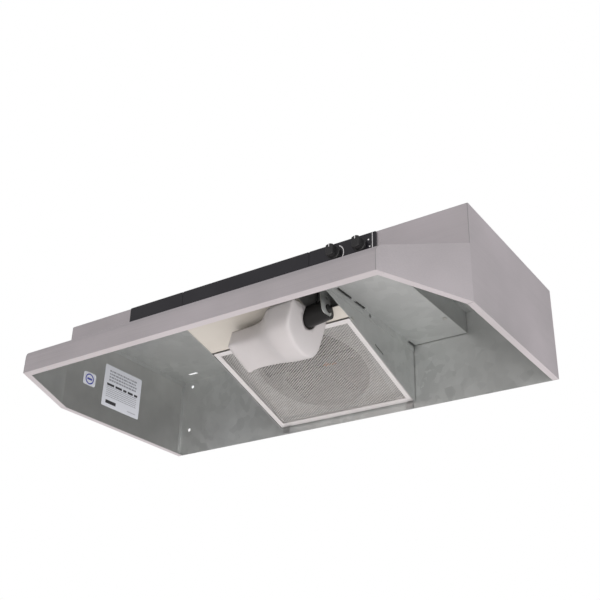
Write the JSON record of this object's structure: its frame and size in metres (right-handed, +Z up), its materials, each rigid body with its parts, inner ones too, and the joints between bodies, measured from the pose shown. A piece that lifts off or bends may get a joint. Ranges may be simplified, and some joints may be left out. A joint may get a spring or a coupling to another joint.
{
  "type": "under cabinet range hood",
  "caption": "Under-cabinet range hood with mitred visor, slanted mesh filter, tilted axial fan, light with scoop lens, rotary knobs and ducted damper.",
  "frame": {"origin": "centre of the four cabinet screw slots, on the outside of the top panel", "axes": "+X right as seen from the front, +Y back to the wall, +Z up to the cabinet"},
  "size_m": [0.762, 0.4445, 0.1965],
  "materials": {
    "stainless": "fine brushed, satin",
    "galvanised": "mill finish, faint spangle",
    "aluminium_rim": "bright rolled",
    "aluminium_mesh": "expanded layers",
    "zinc_fastener": "zinc plated",
    "spring_steel": "bright strip",
    "fan_aluminium": "pressed",
    "motor_steel": "oiled laminations",
    "copper_winding": "enamelled wire",
    "cast_zinc": "die cast",
    "cream_paint": "satin baked paint",
    "lens_plastic": "translucent, satin",
    "black_phenolic": "moulded",
    "lamp_brass": "thin rolled",
    "bulb_glass": "frosted envelope",
    "black_gloss": "smooth",
    "black_matte": "fine moulded grain",
    "switch_plastic": "moulded",
    "wire_nut_plastic": "ribbed",
    "green_screw": "painted head",
    "label_paper": "printed film",
    "wire_jacket": "vinyl jacket"
  },
  "bodies": {
    "hood": {"back_panel": "galvanised", "control_plate": "black_gloss", "cover_screws": "zinc_fastener", "duct_connector": "galvanised", "duct_screws": "zinc_fastener", "fan_plate": "galvanised", "fan_speed_switch": "switch_plastic", "filter_clips": "spring_steel", "filter_pins": "zinc_fastener", "front_visor": "stainless", "ground_screw": "green_screw", "housing_wall_left": "galvanised", "housing_wall_right": "galvanised", "lamp_bulb": "bulb_glass", "lamp_cap": "lamp_brass", "lamp_lead": "wire_jacket", "lamp_socket": "black_phenolic", "lead_bushings": "black_matte", "left_side_panel": "stainless", "light_pan": "cream_paint", "light_switch": "switch_plastic", "motor_bracket": "galvanised", "motor_caps": "cast_zinc", "motor_coil": "copper_winding", "motor_core": "motor_steel", "motor_lead": "wire_jacket", "motor_screws": "zinc_fastener", "rating_label": "label_paper", "right_side_panel": "stainless", "round_cornered_sticker": "label_paper", "socket_bracket": "galvanised", "strip_centre": "black_gloss", "strip_left": "black_gloss", "switch_leads": "wire_jacket", "switch_nuts": "zinc_fastener", "top_panel": "galvanised", "wire_nuts": "wire_nut_plastic", "wiring_box_wall": "galvanised", "wiring_cover": "galvanised"},
    "fan": {"fan_blade": "fan_aluminium", "blade_nut": "zinc_fastener", "rotor_shaft": "motor_steel"},
    "fan_control": {"fan_knob": "black_matte", "fan_switch_shaft": "black_matte"},
    "light_control": {"light_knob": "black_matte", "light_switch_shaft": "black_matte"},
    "filter": {"filter_frame": "aluminium_rim", "filter_mesh": "aluminium_mesh"},
    "lens": {"light_lens": "lens_plastic"},
    "damper": {"damper_flap": "galvanised"}
  },
  "joints": [
    {"name": "fan_spin", "type": "hinge", "parent": "hood", "child": "fan", "pos_m": [0, 0.0411, -0.10502], "axis": [0, 0.3123, 0.95], "continuous": true},
    {"name": "fan_knob_turn", "type": "hinge", "parent": "hood", "child": "fan_control", "pos_m": [0.1704, -0.1523, -0.0194], "axis": [0, 1, 0], "range_deg": [0, 270]},
    {"name": "light_knob_turn", "type": "hinge", "parent": "hood", "child": "light_control", "pos_m": [0.2143, -0.1523, -0.0194], "axis": [0, 1, 0], "range_deg": [0, 45]},
    {"name": "filter_drop", "type": "hinge", "parent": "hood", "child": "filter", "pos_m": [0, -0.05011, -0.07187], "axis": [-1, 0, 0], "range_deg": [0, 65]},
    {"name": "lens_slide", "type": "slide", "parent": "hood", "child": "lens", "axis": [0, 0, -1], "range_m": [0, 0.03]},
    {"name": "damper_lift", "type": "hinge", "parent": "hood", "child": "damper", "pos_m": [0, 0.0583, 0.0241], "axis": [1, 0, 0], "range_deg": [0, 75]}
  ]
}
